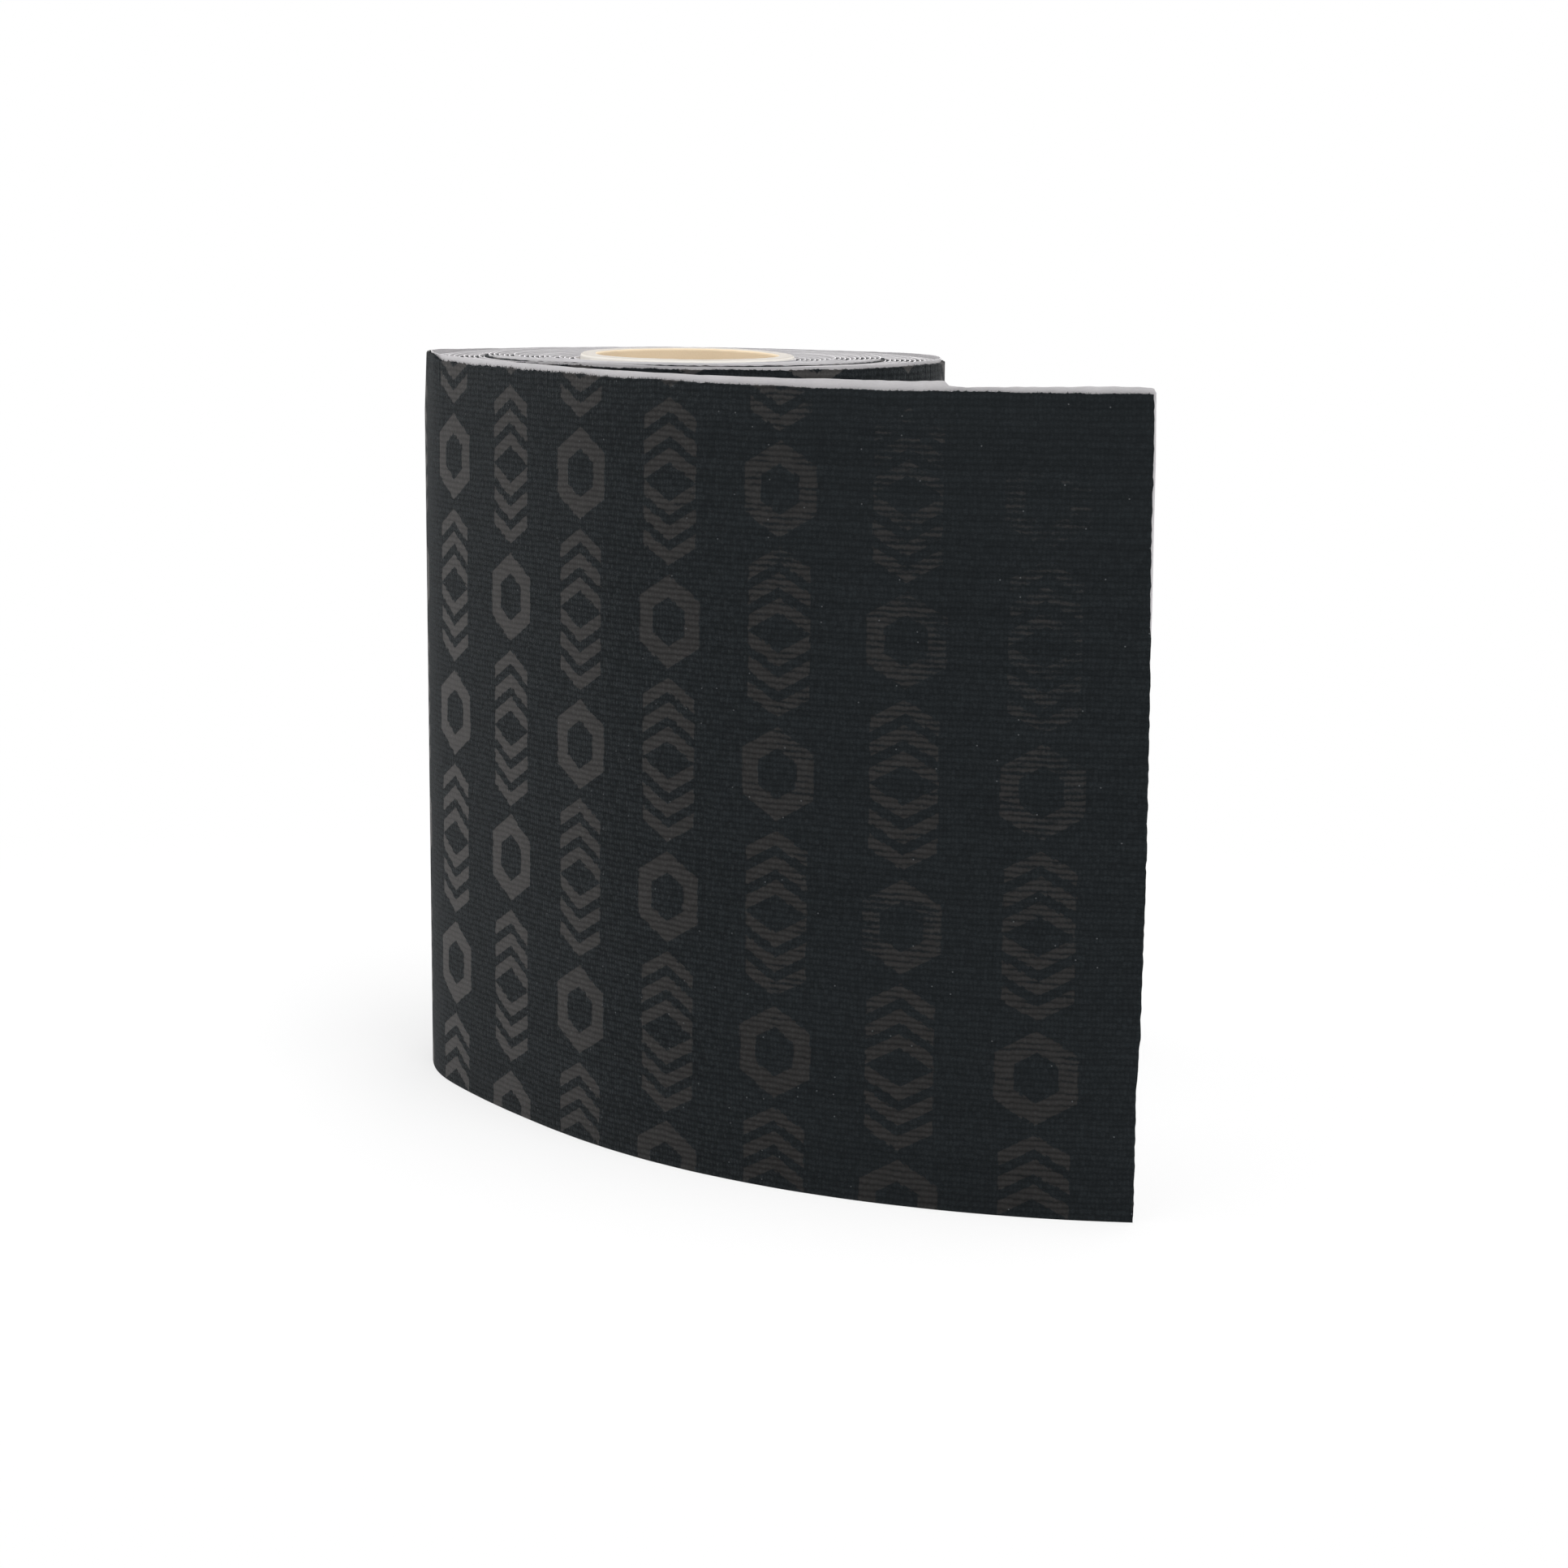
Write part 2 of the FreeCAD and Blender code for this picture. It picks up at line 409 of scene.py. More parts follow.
def flat_ply(ply, span, column, rows):
    """A closed flat slab in web coordinates, with its long edges rounded."""
    bottom, top = ply.heights
    thickness = ply.depths[1] - ply.depths[0]
    low = Vector((span[0], ply.depths[0], bottom))
    high = Vector((span[1], ply.depths[1], top))
    placed = Matrix.LocRotScale((low + high) / 2, None, high - low)
    bm = bmesh.new()
    bmesh.ops.create_cube(bm, size=1, matrix=placed)
    cut_across(bm, 2, rows)
    if ply.rounding:
        corners = []
        for edge in bm.edges:
            first, second = (vert.co.z for vert in edge.verts)
            level = abs(first - second) < CLOSE
            outermost = min(abs(first - bottom), abs(first - top)) < CLOSE
            if level and outermost and edge.calc_length() > 2 * thickness:
                corners.append(edge)
        bmesh.ops.bevel(
            bm, geom=corners, offset=ply.rounding, segments=2, profile=0.5, affect="EDGES",
            material=-1,
        )
    cut_across(bm, 0, round((span[1] - span[0]) / column))
    return bm


def mesh_of(name, bm):
    """What was built, as a mesh. The bmesh is let go."""
    mesh = bpy.data.meshes.new(name)
    bm.to_mesh(mesh)
    bm.free()
    return mesh


def read_out(items, name, width=1):
    """One property of all the vertices, loops or faces: whole numbers, or rows of that width."""
    values = np.zeros(len(items) * width, int if width == 1 else float)
    items.foreach_get(name, values)
    return values if width == 1 else values.reshape(-1, width)


def add_map(mesh, name, uv):
    """A UV map, with a row for each loop."""
    layer = mesh.uv_layers.new(name=name)
    layer.uv.foreach_set("vector", uv.astype(np.float32).ravel())


def bake_map(mesh, share, shown):
    """A map that fills the unit square, most of it with the side (+1 or -1 outwards) that shows."""
    sizes = read_out(mesh.polygons, "loop_total")
    normals = np.repeat(read_out(mesh.polygons, "normal", 3), sizes, axis=0)
    facing = np.argmax(np.abs(normals), axis=1)
    uv = np.zeros((len(share), 2))
    axes = ("along", "outwards", "up")
    for facing_axis, sign, across_axis, up_axis, low, high in BAKE_BANDS:
        axis, across, upwards = (axes.index(name) for name in (facing_axis, across_axis, up_axis))
        side = sign * shown if facing_axis == "outwards" else sign
        face = (facing == axis) & (normals[:, axis] * side > 0)
        uv[face, 0] = share[face, across]
        uv[face, 1] = low + (high - low) * share[face, upwards]
    return uv


def new_piece(name, mesh, slot):
    """A piece of the model, with its slot's finish."""
    mesh.materials.append(FINISHES[slot])
    mesh.shade_smooth()
    mesh.set_sharp_from_angle(angle=SHARP_ANGLE)
    piece = bpy.data.objects.new(name, mesh)
    bpy.context.scene.collection.objects.link(piece)
    return piece


def add_hairs(bm, span):
    """Stray fibre ends along the cloth's upper edge, most of them by the roll."""
    for along in np.arange(span[0], span[1], HAIR_PITCH) + HAIR_PITCH / 2:
        fringe = smoothstep(along, *FRINGE_COMES)
        fringe -= FRINGE_LOSS * smoothstep(along, *FRINGE_GOES)
        longest = 0.25 + 0.2 * fringe  # this and the next in millimetres
        root_radius = 0.03 + 0.02 * fringe
        chance = 0.25 + 0.65 * fringe
        length = RANDOM.uniform(0.12, longest) * MM
        place = Vector((along, RANDOM.uniform(0.3, 0.6) * MM, CLOTH_TOP + 0.3 * length))
        lean = Euler((RANDOM.uniform(-0.5, 0.5), RANDOM.uniform(-0.6, 0.6), 0))
        if RANDOM.uniform() < chance:
            bmesh.ops.create_cone(
                bm, cap_ends=True, segments=3, radius1=root_radius * MM, radius2=HAIR_TIP_RADIUS,
                depth=length, matrix=Matrix.LocRotScale(place, lean, None),
            )


def ply_piece(name, ply, span, column, rows):
    """A length of a ply: made flat, given its uneven edges and wrapped onto the path.

    It carries two maps: one in metres, along the web and up it, and one to bake on.
    """
    bm = flat_ply(ply, span, column, rows)
    if ply.slot == "cloth" and span[1] > LAST_TURN:
        add_hairs(bm, span)
    mesh = mesh_of(name, bm)
    flat = read_out(mesh.vertices, "co", 3)
    corners = read_out(mesh.loops, "vertex_index")
    add_map(mesh, "Web", flat[corners][:, [0, 2]])
    share = (flat - flat.min(0)) / (flat.max(0) - flat.min(0))
    add_map(mesh, "OFBake", bake_map(mesh, share[corners], ply.shown))
    placed = tapered(wrapped(ply.uneven(flat)), flat[:, 0])
    mesh.vertices.foreach_set("co", placed.astype(np.float32).ravel())
    mesh.flip_normals()  # wrapping turns a ply inside out
    mesh.update()
    return new_piece(name, mesh, ply.slot)


# --------------------------------------------------------------------------------- materials

# Colours, each from its darkest to its lightest
YARN_BLACK = ((0.0036, 0.0045, 0.0051, 1), (0.0199, 0.0237, 0.0262, 1))
PRINT_GREY = ((0.0116, 0.0112, 0.0111, 1), (0.068, 0.0652, 0.0638, 1))
LINER_WHITE = ((0.41, 0.397, 0.408, 1), (0.82, 0.80, 0.815, 1))
ADHESIVE_CREAM = ((0.40, 0.37, 0.31, 1), (0.62, 0.59, 0.51, 1))
BOARD_CREAM = ((0.46, 0.434, 0.404, 1), (0.91, 0.875, 0.812, 1))
BORE_TAN = ((0.735, 0.59, 0.41, 1), (0.875, 0.745, 0.56, 1))
TISSUE_CREAM = ((0.62, 0.60, 0.52, 1), (0.80, 0.78, 0.70, 1))

LINT_GREY = (0.2, 0.21, 0.22, 1)
SEAM_BROWN = (0.36, 0.27, 0.17, 1)
LAYER_TAN = (0.60, 0.50, 0.36, 1)  # between the paper's layers at the rim


class Wire:
    """A node's output. Arithmetic on it adds Math nodes, and node() adds any other node.

    A blank one, which is no node's output, starts a tree: its methods only add nodes.
    """

    def __init__(self, tree, socket=None):
        self.tree = tree
        self.socket = socket

    def node(self, kind, settings=None, sockets=None, output=0):
        """Adds a node: first its settings, then its sockets' values or links."""
        made = self.tree.nodes.new(kind)
        for name, value in (settings or {}).items():
            setattr(made, name, value)
        for key, value in (sockets or {}).items():
            if isinstance(value, Wire):
                self.tree.links.new(value.socket, made.inputs[key])
            else:
                made.inputs[key].default_value = value
        return Wire(self.tree, made.outputs[output] if made.outputs else None)

    def output(self, key):
        """Another output of the same node."""
        return Wire(self.tree, self.socket.node.outputs[key])

    def math(self, operation, *terms):
        """A Math node on these terms."""
        return self.node("ShaderNodeMath", {"operation": operation}, dict(enumerate(terms)))

    def __add__(self, other):
        return self.math("ADD", self, other)

    def __radd__(self, other):
        return self.math("ADD", other, self)

    def __sub__(self, other):
        return self.math("SUBTRACT", self, other)

    def __rsub__(self, other):
        return self.math("SUBTRACT", other, self)

    def __mul__(self, other):
        return self.math("MULTIPLY", self, other)

    def __rmul__(self, other):
        return self.math("MULTIPLY", other, self)

    def __truediv__(self, other):
        return self.math("DIVIDE", self, other)

    def __lt__(self, other):
        return self.math("LESS_THAN", self, other)

    def __gt__(self, other):
        return self.math("GREATER_THAN", self, other)

    def __abs__(self):
        return self.math("ABSOLUTE", self)

    def __pow__(self, other):
        return self.math("POWER", self, other)

    def floor(self):
        return self.math("FLOOR", self)

    def part(self):
        """What is left above the whole number."""
        return self.math("FRACT", self)

    def sine(self):
        return self.math("SINE", self)

    def larger(self, other):
        return self.math("MAXIMUM", self, other)

    def step(self, low, high):
        """0 below low, 1 above high, and smooth between them."""
        sockets = {"Value": self, "From Min": low, "From Max": high}
        return self.node("ShaderNodeMapRange", {"interpolation_type": "SMOOTHSTEP"}, sockets)

    def mix(self, dark, light):
        """A colour from dark at 0 to light at 1."""
        sockets = {0: self, 6: dark, 7: light}
        return self.node("ShaderNodeMix", {"data_type": "RGBA"}, sockets, output=2)

    def point(self, x, y, z=0.0):
        """A vector. For a noise's place, z picks which of its patterns is used."""
        return self.node("ShaderNodeCombineXYZ", sockets={0: x, 1: y, 2: z})

    def noise(self, place, scale, detail=2.0, roughness=0.5):
        """Smooth noise about 0.5."""
        sockets = {"Vector": place, "Scale": scale, "Detail": detail, "Roughness": roughness}
        return self.node("ShaderNodeTexNoise", sockets=sockets)

    def chance(self, x, y=0.0):
        """An even draw from 0 to 1 for each pair of values."""
        sockets = {"Vector": self.point(x, y)}
        return self.node("ShaderNodeTexWhiteNoise", {"noise_dimensions": "2D"}, sockets)


def new_material(name, constants):
    """A material, with what is the same all over the surface set on its shader by name."""
    material = bpy.data.materials.new(name)
    material.use_nodes = True
    shader = material.node_tree.nodes["Principled BSDF"]
    for socket, value in constants.items():
        shader.inputs[socket].default_value = value
    return material, Wire(material.node_tree)


def dress(material, colour, roughness, height, relief):
    """Feeds the shader what changes over the surface. A height of 1 stands out by the relief."""
    bump = height.node("ShaderNodeBump", sockets={"Distance": relief, "Height": height})
    shader = material.node_tree.nodes["Principled BSDF"]
    for socket, wire in (("Base Color", colour), ("Roughness", roughness), ("Normal", bump)):
        material.node_tree.links.new(wire.socket, shader.inputs[socket])


def web_place(blank):
    """How far along the web and how high, in millimetres."""
    web_map = blank.node("ShaderNodeUVMap", {"uv_map": "Web"})
    split = blank.node("ShaderNodeSeparateXYZ", sockets={"Vector": web_map})
    return split.output("X") * 1000, split.output("Y") * 1000


def print_shape(along, up):
    """1 inside the print's figures: a six-sided ring between two stacks of chevrons."""
    pitch = COLUMN_PITCH / MM
    repeat = REPEAT_HEIGHT / MM
    column = along / pitch + COLUMN_PHASE
    across = (column.part() - 0.5) * pitch
    drop = (column.floor() / 2).part()
    rise = ((up / repeat + drop).part() - 0.5) * repeat
    side, height = abs(across), abs(rise)
    hexagon = side.larger(side * 0.5 + height * 0.866)  # the cosine and sine of 60 degrees
    ring = hexagon.step(*RING_INSIDE) * (1 - hexagon.step(*RING_OUTSIDE))
    climb = height - side * CHEVRON_SLOPE
    off_midline = abs(((climb - STACK_START[0]) / CHEVRON_PITCH).part() - 0.5)
    stack = (1 - off_midline.step(*CHEVRON_EDGE)) * (1 - side.step(*STACK_SIDE))
    stack = stack * climb.step(*STACK_START) * (1 - climb.step(*STACK_END))
    return ring.larger(stack)


def woven_cloth():
    """Black plain weave with a worn grey print."""
    fuzzy = {"Specular IOR Level": 0.05, "Sheen Weight": 0.1, "Sheen Roughness": 0.32}
    material, blank = new_material("woven_cloth", fuzzy)
    along, up = web_place(blank)
    place = blank.point(along, up)

    # The weave. Its yarns drift and sag a little, and each crossing has a shade of its own.
    drift = blank.noise(place, 0.3, 4.0, 0.6) - 0.5
    sag = blank.noise(blank.point(along, up, 40.0), 0.22, 4.0, 0.6) - 0.5
    level = up / (LEVEL_PITCH / MM) + sag
    shift = blank.chance(level.floor(), 7.0) * 0.5
    upright = along / (UPRIGHT_PITCH / MM) + drift * 1.6 + shift
    over = (upright * math.pi).sine()
    row_gap = 1 - abs((level * math.pi + over * 0.1).sine()) ** 1.4
    yarn_gap = 1 - abs(over) ** 1.1
    patchy = blank.noise(blank.point(along, up, 20.0), 1.3)
    draw = blank.chance(upright.floor(), level.floor())
    turned = abs((upright.floor() / 2 + level.floor() / 2).part()) * 2
    grain = blank.noise(blank.point(along * 3.4, up * 5.2), 1.0, 3.0, 0.7).step(0.28, 0.78)
    gaps = (1 - row_gap * (0.05 + patchy)) * (1 - yarn_gap * patchy * 0.7)
    thread = gaps * (0.58 + 0.56 * draw + 0.07 * turned) * (0.5 + grain)

    # It is calmer towards the tip and the top. Its stronger contrast by the roll is painted shading
    # of the weave's relief, as the grazing light from the left gives it there. There are loose
    # fibres here and there.
    calm = along.step(45, 92) * 0.35 + up.step(60, 95) * 0.15
    thread = thread - (thread - 0.6) * calm
    # The loose fibres are drawn lighter than the cloth: painted glints where they catch the light.
    loose = blank.noise(blank.point(along, up, 70.0), 1.1)
    fibre = (1 - abs(loose - 0.5).step(0.0, 0.014)) * blank.noise(place, 0.6).step(0.52, 0.62)
    mottle = blank.noise(place, 0.09, 4.0)
    tone = thread * (0.85 + 0.2 * blank.chance(level.floor()) + 0.2 * mottle) + fibre * 0.2
    bare = tone.mix(*YARN_BLACK)

    # The print. It is worn off towards the tip, and where the yarns hold it least.
    nudge = (draw - 0.5) * 0.25
    wear = along.step(0, 125) * (0.42 + 0.5 * (up / 100))
    streak = blank.noise(blank.point(along * 0.3, level * 0.8), 1.0, 3.0, 0.6)
    rubbed = blank.noise(blank.point(along, up, 90.0), 0.045, 4.0, 0.6).step(0.5, 0.75)
    hold = (1 - row_gap) * 0.22 + streak * 0.85 + grain * 0.15 - rubbed * 0.4
    ink = print_shape(along + nudge, up + nudge) * (hold + 0.2 - wear).step(0.0, 0.3)
    # The ink is lighter by the roll: partly fresher ink, partly a painted highlight of the light
    # from the left on the smoother ink.
    fresh_and_lit = (1 - along.step(-10, 75)) * (1 - up.step(50, 100) * 0.45)
    ink_tone = (1 - row_gap) * 0.2 + thread * 0.3 + streak * 0.3 + fresh_and_lit * 0.75 - 0.17
    inked = ink_tone.mix(*PRINT_GREY)

    # A few specks of lint
    sockets = {"Vector": place, "Scale": 0.4}
    lint = blank.node("ShaderNodeTexVoronoi", {"voronoi_dimensions": "2D"}, sockets)
    lint_draw = blank.node("ShaderNodeSeparateColor", sockets={"Color": lint.output("Color")})
    speck = (1 - lint.step(0.02, 0.05)) * (lint_draw > 0.9)
    printed = (ink * (0.95 - wear * 0.3)).mix(bare, inked)
    colour = (speck * 0.4).mix(printed, LINT_GREY)
    dress(material, colour, 0.95 - 0.2 * ink, thread * (1 - ink * 0.6), relief=0.10 * MM)
    return material


def release_liner():
    """White paper with a faint silicone sheen."""
    material, blank = new_material("release_liner", {"Specular IOR Level": 0.4})
    along, up = web_place(blank)
    place = blank.point(along, up)
    cloud = blank.noise(place, 0.25, 4.0)
    fibre = blank.noise(blank.point(along * 2.0, up * 5.0), 1.0, 3.0)
    smudge = blank.noise(blank.point(along * 0.3, up * 0.8, 9.0), 1.0, 2.0).step(0.62, 0.75)
    # The free end's top band, which shows above the cloth, is drawn darker: painted shade.
    below_shaded_band = 1 - up.step(98.5, 99.8)  # below the free end's top band, which is painted in shade
    unshaded = (along < LAST_TURN / MM).larger(below_shaded_band)
    tone = cloud * 0.35 + fibre * 0.2 + 0.05 - smudge * 0.2 + unshaded * 0.42
    colour = tone.mix(*LINER_WHITE)
    dress(material, colour, 0.42 + 0.2 * cloud, cloud * 0.5 + fibre * 0.5, relief=0.02 * MM)
    return material


def cream_adhesive():
    """A tacky coat with the fine ribs of the comb that spread it."""
    tacky = {"Coat Weight": 0.4, "Coat Roughness": 0.25}
    material, blank = new_material("cream_adhesive", tacky)
    along, up = web_place(blank)
    wander = blank.noise(blank.point(along, up), 0.12)
    ribs = (along * 2.6 + (up * 0.35 + wander * 6).sine() * 2.2).sine() * 0.5 + 0.5
    cloud = blank.noise(blank.point(along, up), 0.5, 3.0)
    tone = ribs * 0.35 + cloud * 0.5
    colour = tone.mix(*ADHESIVE_CREAM)
    dress(material, colour, 0.35 + 0.2 * cloud, ribs * 0.7 + cloud * 0.3, relief=0.05 * MM)
    return material


def paperboard():
    """Cream paper wound in a helix: faint seams on the walls and bare layers at the rims."""
    material, blank = new_material("paperboard", {"Specular IOR Level": 0.3})
    place = blank.node("ShaderNodeTexCoord", output=3)
    split = blank.node("ShaderNodeSeparateXYZ", sockets={"Vector": place})
    x, y, z = (split.output(axis) for axis in "XYZ")
    helix_pitch = 62 * MM
    layer = 0.38 * MM
    turn = blank.math("ARCTAN2", y, x) / (2 * math.pi)
    radius = (x * x + y * y) ** 0.5
    helix = (z / helix_pitch + turn).part()
    seam = 1 - abs(helix - 0.5).step(0.0, 0.012)
    fibre = blank.noise(blank.point(turn * 700, z * 2500), 1.0, 4.0, 0.6)
    cloud = blank.noise(place, 160.0, 3.0)
    inside = 1 - radius.step(BORE_RADIUS + 0.08 * MM, BORE_RADIUS + 0.28 * MM)
    layers = abs((radius / layer).part() - 0.5).step(0.32, 0.48)
    rim = z.step(CORE_TOP - 1.2 * MM, CORE_TOP - 0.7 * MM)
    tan = (fibre * 0.6 + cloud * 0.4).mix(*BORE_TAN)
    # The rims' flat faces get a darker cream than the walls: painted shade, which tones down the
    # light from above on them.
    unshaded_walls = inside.larger(radius.step(CORE_RADIUS - 0.25 * MM, CORE_RADIUS - 0.05 * MM))
    paper = fibre * 0.12 + cloud * 0.12 + unshaded_walls * 0.63
    cream = paper.mix(*BOARD_CREAM)
    colour = inside.mix(cream, tan)
    colour = (seam * 0.45 * (1 - rim)).mix(colour, SEAM_BROWN)
    colour = (layers * rim * (1 - inside) * 0.3).mix(colour, LAYER_TAN)
    dress(material, colour, 0.8 + 0.1 * cloud, fibre * 0.5 - seam, relief=0.04 * MM)
    return material


def starter_tissue():
    """Double-sided tissue tape."""
    material, blank = new_material("starter_tissue", {"Specular IOR Level": 0.4})
    place = blank.node("ShaderNodeTexCoord", output=3)
    cloud = blank.noise(place, 900.0, 4.0)
    colour = cloud.mix(*TISSUE_CREAM)
    dress(material, colour, 0.5 + 0.2 * cloud, cloud, relief=0.02 * MM)
    return material


FINISHES = {
    "cloth": woven_cloth(),
    "liner": release_liner(),
    "adhesive": cream_adhesive(),
    "core": paperboard(),
}


# -------------------------------------------------------------------------------------- core

RIM_ROUNDING = 0.45 * MM
RIM_DROP = 0.31  # how far the rim lies below the CAD's, in millimetres
RIM_TILT = (0.04, -0.25)  # and how much further at the right and at the back
CORE_STEPS = 240
CORE_CUTS = 24  # up its walls, so that they can be dented
RIM_DEPTH = 1 * MM  # of the core's top, which moves with the uneven rim
LINING_DEPTH = 0.5 * MM  # of the core's wall, which moves with the dents in its bore
WELD_DISTANCE = 1e-6


def make_core():
    """A turned tube with rounded rims. Its top rim is a little uneven, and so is its bore."""
    bm = bmesh.new()
    outline = [
        (BORE_RADIUS, 0.0),
        (CORE_RADIUS, 0.0),
        (CORE_RADIUS, CORE_TOP),
        (BORE_RADIUS, CORE_TOP),
    ]
    verts = [bm.verts.new((radius, 0, height)) for radius, height in outline]
    face = bm.faces.new(verts)
    bmesh.ops.bevel(
        bm, geom=list(face.verts), offset=RIM_ROUNDING, segments=4, profile=0.5, affect="VERTICES",
        material=-1,
    )
    bmesh.ops.delete(bm, geom=bm.faces[:], context="FACES_ONLY")
    uprights = [edge for edge in bm.edges if edge.calc_length() > CORE_TOP / 2]
    bmesh.ops.subdivide_edges(bm, edges=uprights, cuts=CORE_CUTS)
    bmesh.ops.spin(
        bm, geom=bm.edges[:] + bm.verts[:], cent=(0, 0, 0), axis=(0, 0, 1), angle=2 * math.pi,
        steps=CORE_STEPS, use_merge=True,
    )
    bmesh.ops.remove_doubles(bm, verts=bm.verts, dist=WELD_DISTANCE)
    bmesh.ops.recalc_face_normals(bm, faces=bm.faces)
    for vert in bm.verts:
        turn = Vector((vert.co.x, vert.co.y, 0)).normalized()
        if vert.co.z > CORE_TOP - RIM_DEPTH:
            wander = noise.noise(turn * 1.3) * 0.1 * MM + noise.noise(turn * 9) * 0.03 * MM
            drop = RIM_DROP + RIM_TILT[0] * turn.x + RIM_TILT[1] * turn.y
            vert.co.z += wander - drop * MM
        dent = noise.noise(Vector((turn.x * 3, turn.y * 3, vert.co.z * 60))) * 0.05 * MM
        if vert.co.x**2 + vert.co.y**2 < (BORE_RADIUS + LINING_DEPTH) ** 2:
            vert.co += turn * dent
    piece = new_piece("paper_core", mesh_of("paper_core", bm), "core")
    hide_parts("core")
    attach(piece, "roll")


# --------------------------------------------------------------------------------- the web

# How finely a ply is cut: a column's length along the web, and the number of rows up it
INNER_TURNS = {"column": 0.75 * MM, "rows": 3}  # which show only from above
OUTER_LINER = {"column": 0.5 * MM, "rows": 6}
WOUND_ADHESIVE = {"column": 1.5 * MM, "rows": 1}
SEEN_CLOTH = {"column": UPRIGHT_PITCH / 4, "rows": 14}
FREE_LINER = {"column": 0.25 * MM, "rows": 12}
FREE_ADHESIVE = {"column": 1.0 * MM, "rows": 6}
TAB_CLOTH = {"column": UPRIGHT_PITCH / 4, "rows": 210}  # fine enough for the bites in its end
TAB_ADHESIVE = {"column": 0.3 * MM, "rows": 6}

OUTER_CLOTH_LENGTHS = 4  # that the outermost turn of cloth is made in


def declare(span):
    """Works out how long a span is, and does nothing more with it."""
    span[1] - span[0]


def make_wound_web():
    """All that stays with the roll: the inner turns, and then the outermost one."""
    inner = (WEB_START, LAST_TURN)
    outer = (LAST_TURN, FREE_START)
    whole = (WEB_START, FREE_START)
    liner = ply_piece("wound_liner_turns", LINER_PLY, inner, **INNER_TURNS)
    outer_liner = ply_piece("outer_liner_turn", LINER_PLY, outer, **OUTER_LINER)
    adhesive = ply_piece("wound_adhesive_turns", ADHESIVE_PLY, whole, **WOUND_ADHESIVE)
    cloth = ply_piece("wound_cloth_turns", CLOTH_PLY, inner, **INNER_TURNS)
    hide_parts("wound_liner")
    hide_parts("wound_adhesive")
    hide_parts("wound_cloth")
    declare(inner)
    declare(outer)
    declare(inner)
    pieces = [liner, outer_liner, adhesive, cloth]
    cuts = np.linspace(*outer, OUTER_CLOTH_LENGTHS + 1)
    for number, span in enumerate(zip(cuts[:-1], cuts[1:]), 1):
        name = f"outer_cloth_turn_{number}"
        outer_cloth = ply_piece(name, CLOTH_PLY, span, **SEEN_CLOTH)
        declare(span)
        pieces.append(outer_cloth)
    for piece in pieces:
        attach(piece, "roll")


def bend_over(piece, before, span):
    """Finds where a stretch of the web begins and ends, and bakes a strip's placing into its mesh.
    """
    place_on_web(span[0])
    place_on_web(span[1])
    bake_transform(piece)


def make_free_end():
    """Strips that each span one hinge and meet halfway between hinges."""
    tab_start = TAB_HINGE + TAB_CREASE[0]
    starts = [FREE_START] + [hinge + PANEL_LENGTH / 2 for hinge in HINGES[:-1]]
    ends = starts[1:] + [tab_start]
    bodies = ["roll"] + [f"free_end_{number}" for number in range(1, PANEL_COUNT + 1)]
    for number, span in enumerate(zip(starts, ends), 1):
        liner_span = (span[0], WEB_END) if number == PANEL_COUNT else span
        liner_name = f"free_liner_strip_{number}"
        adhesive_name = f"free_adhesive_strip_{number}"
        cloth_name = f"free_cloth_strip_{number}"
        liner = ply_piece(liner_name, LINER_PLY, liner_span, **FREE_LINER)
        adhesive = ply_piece(adhesive_name, ADHESIVE_PLY, span, **FREE_ADHESIVE)
        cloth = ply_piece(cloth_name, CLOTH_PLY, span, **SEEN_CLOTH)
        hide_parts(f"free_liner_{number}")
        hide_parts(f"free_adhesive_{number}")
        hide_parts(f"free_cloth_{number}")
        declare(liner_span)
        declare(span)
        for piece in (liner, adhesive, cloth):
            bend_over(piece, bodies[number - 1], span)
    make_lift_tab(tab_start, bodies[-1])


def make_lift_tab(start, carrier):
    """The end of the cloth, which lifts off the liner with its adhesive."""
    span = (start, WEB_END)
    crease = (start, TAB_HINGE + TAB_CREASE[1])
    apart = ADHESIVE_PLY._replace(depths=(ADHESIVE[0] + LIFT_GAP, ADHESIVE[1]))
    adhesive = ply_piece("tab_adhesive_strip", apart, span, **TAB_ADHESIVE)
    cloth = ply_piece("tab_cloth_strip", CLOTH_PLY, span, **TAB_CLOTH)
    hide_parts("lift_tab_adhesive")
    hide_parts("lift_tab_cloth")
    cut_span = (start, WEB_END + np.mean(END_REACHES) * MM)  # up to the crooked cut, on average
    declare(cut_span)
    for piece in (adhesive, cloth):
        bend_over(piece, carrier, crease)


def dress_starter_strip():
    """The CAD's own solid serves as it is, in its own material."""
    materials = frame["nodes"]["core_starter_strip"].data.materials
    materials.clear()
    materials.append(starter_tissue())


# ------------------------------------------------------------------ floor, lights and camera

CAMERA_PLACE = (-0.000157, -0.50736, 0.12164)
CAMERA_YAW = 0.028232  # to the right of straight ahead
CAMERA_PITCH = 0.160032  # below the level
CAMERA_ROLL = 0.010584
FOCAL_LENGTH = 82.49  # in millimetres, as the sensor's width is
SENSOR_WIDTH = 36
FLOOR_HALF = 1.5  # of its side, in metres
SHADOW_FADES = (0.03, 0.22)  # metres from the axis: where the shadow begins to fade, and is gone
GLOW_BY_ROLL = 0.6  # the share of white in the floor there, and the rest further out
ROOM_LIGHT = 0.35  # strength of the light from all round


def cleared(owner):
    """A material's or world's tree with no nodes yet, to add its own to."""
    owner.use_nodes = True
    owner.node_tree.nodes.clear()
    return Wire(owner.node_tree)


def white_for_camera(shade, light, share):
    """Mixes a white glow into a shader, for rays from the camera or by way of gloss."""
    path = shade.node("ShaderNodeLightPath")
    seen = path.output("Is Camera Ray").larger(path.output("Is Glossy Ray"))
    seen = seen.larger(path.output("Is Transmission Ray"))
    return shade.node("ShaderNodeMixShader", sockets={0: seen * share, 1: shade, 2: light})


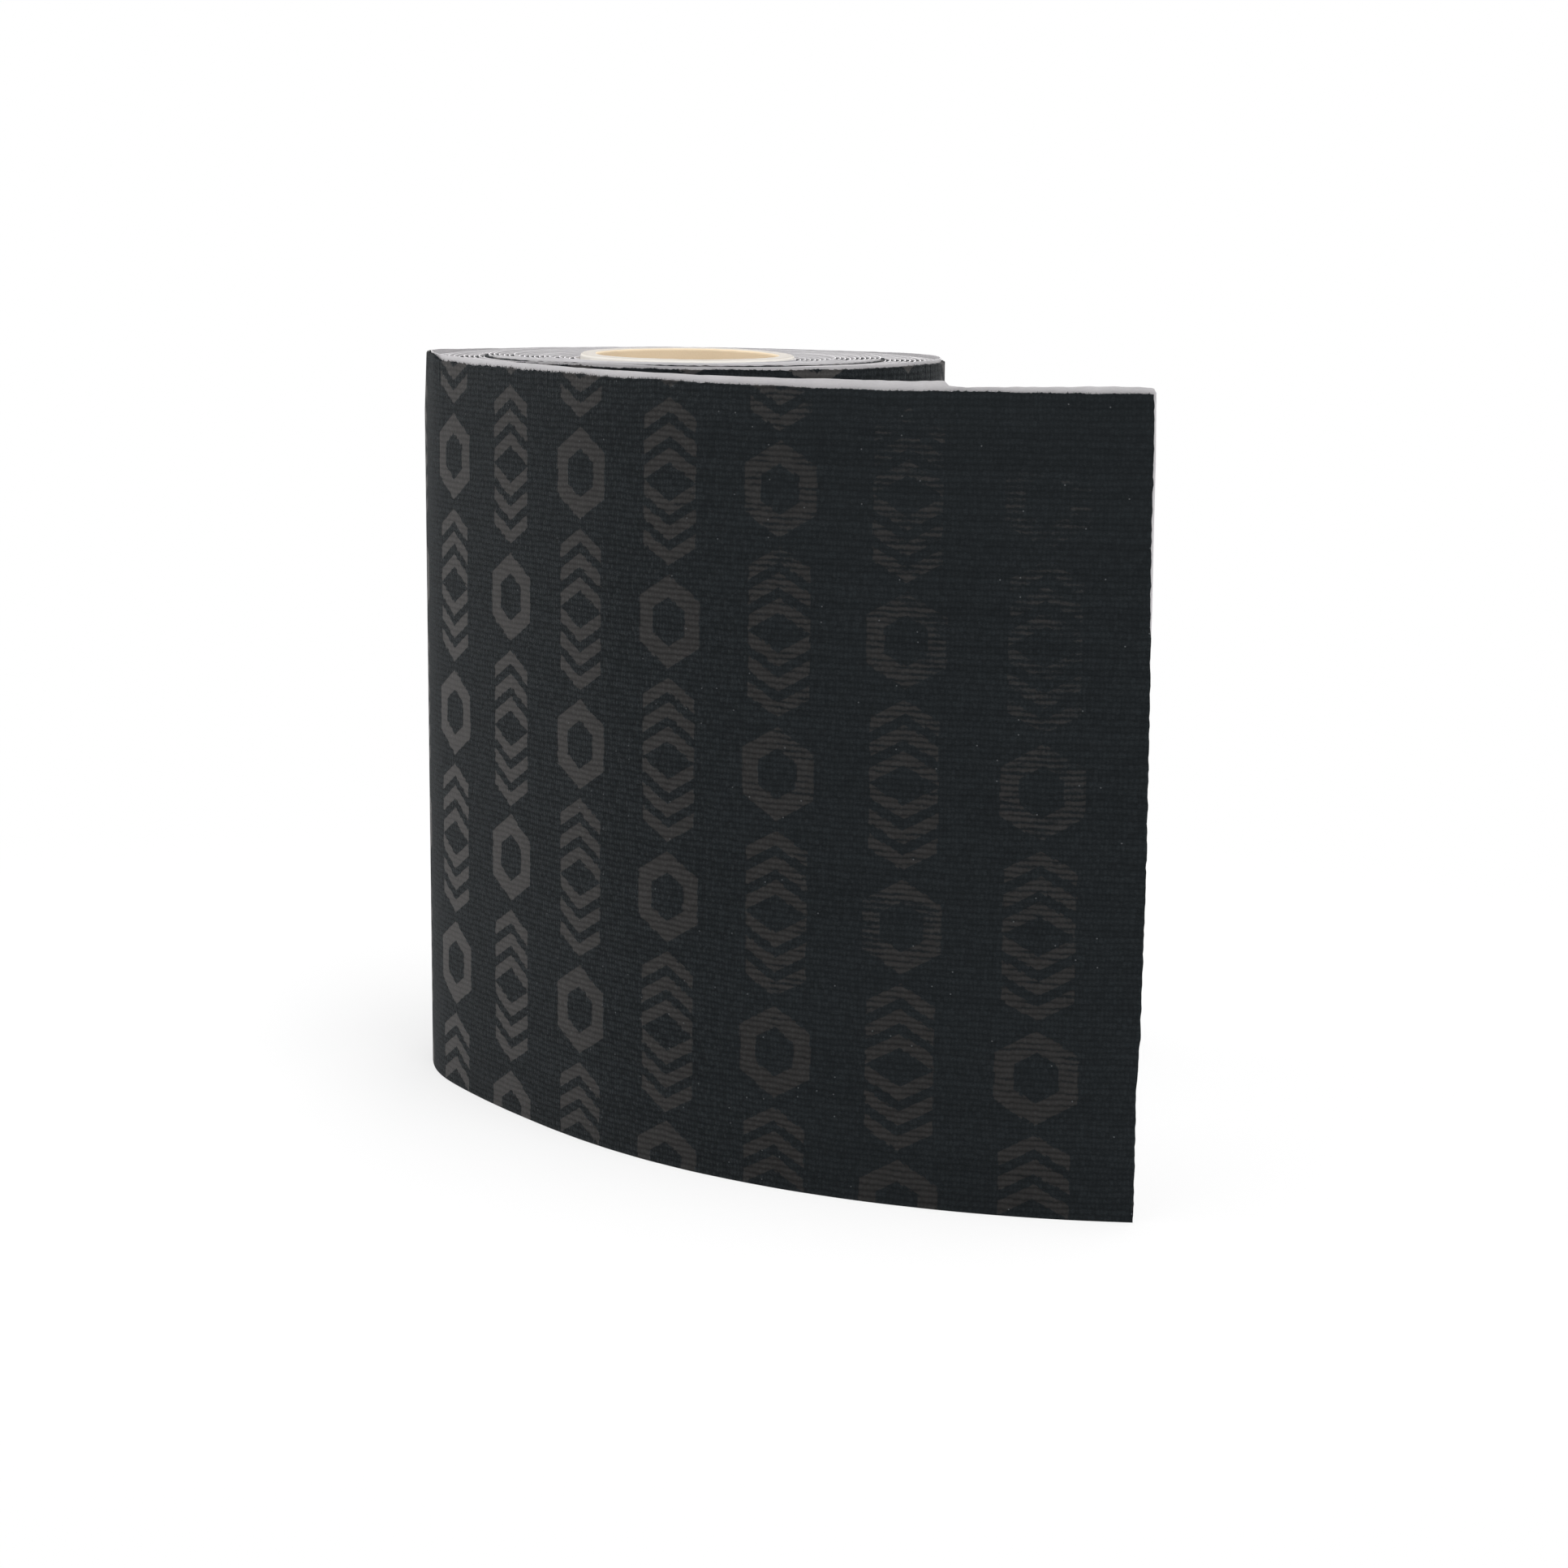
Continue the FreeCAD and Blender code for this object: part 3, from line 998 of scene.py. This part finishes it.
def make_floor():
    """A plain floor that keeps the shadow near the roll and fades to white away from it."""
    bm = bmesh.new()
    bmesh.ops.create_grid(bm, x_segments=1, y_segments=1, size=FLOOR_HALF)
    mesh = mesh_of("floor", bm)
    material = bpy.data.materials.new("white_floor")
    blank = cleared(material)
    place = blank.node("ShaderNodeTexCoord", output=3)
    distance = blank.node("ShaderNodeVectorMath", {"operation": "LENGTH"}, {0: place}, output=1)
    diffuse = blank.node("ShaderNodeBsdfDiffuse", sockets={"Color": (0.85, 0.85, 0.85, 1)})
    glow = blank.node("ShaderNodeEmission", sockets={"Strength": 1.0})
    share = GLOW_BY_ROLL + (1 - GLOW_BY_ROLL) * distance.step(*SHADOW_FADES)
    surface = white_for_camera(diffuse, glow, share)
    blank.node("ShaderNodeOutputMaterial", sockets={"Surface": surface})
    mesh.materials.append(material)
    floor = bpy.data.objects.new("floor", mesh)
    bpy.context.scene.collection.objects.link(floor)


def make_world():
    """White where the camera looks, and a soft grey light from all round."""
    world = bpy.data.worlds.new("studio")
    bpy.context.scene.world = world
    blank = cleared(world)
    colour = (1, 1, 1, 1)
    soft = blank.node("ShaderNodeBackground", sockets={"Color": colour, "Strength": ROOM_LIGHT})
    white = blank.node("ShaderNodeBackground", sockets={"Color": colour, "Strength": 1.0})
    surface = white_for_camera(soft, white, 1.0)
    blank.node("ShaderNodeOutputWorld", sockets={"Surface": surface})


def add_soft_light(name, place, size, power):
    """A square lamp that faces the middle of the roll."""
    lamp = bpy.data.lights.new(name, "AREA")
    lamp.size = size
    lamp.energy = power
    light = bpy.data.objects.new(name, lamp)
    aim = Vector((0, -0.02, CLOTH_TOP / 2)) - Vector(place)
    turn = aim.to_track_quat("-Z", "Y").to_matrix().to_4x4()
    light.matrix_world = Matrix.Translation(place) @ turn
    bpy.context.scene.collection.objects.link(light)


def make_lights():
    """Each with its place and size in metres, and its power in watts."""
    add_soft_light("back", (0.4, 1.2, 0.7), 0.8, 4.0)
    add_soft_light("key", (-1.25, 0.25, 0.55), 0.8, 7.5)
    add_soft_light("fill", (0.7, -1.1, 0.6), 0.9, 6.0)
    add_soft_light("top", (0.0, -0.2, 1.3), 0.9, 13.0)


def make_camera():
    """A little above the roll's top and half a metre in front of it."""
    lens = bpy.data.cameras.new("camera")
    lens.lens = FOCAL_LENGTH
    lens.sensor_width = SENSOR_WIDTH
    camera = bpy.data.objects.new("camera", lens)
    turn = (
        Matrix.Rotation(-CAMERA_YAW, 4, "Z")
        @ Matrix.Rotation(math.pi / 2 - CAMERA_PITCH, 4, "X")
        @ Matrix.Rotation(CAMERA_ROLL, 4, "Z")
    )
    camera.matrix_world = Matrix.Translation(CAMERA_PLACE) @ turn
    bpy.context.scene.collection.objects.link(camera)
    bpy.context.scene.camera = camera


make_camera()
make_world()
make_lights()
make_floor()
make_core()
make_wound_web()
make_free_end()
dress_starter_strip()

bpy.context.scene.view_settings.view_transform = "Standard"
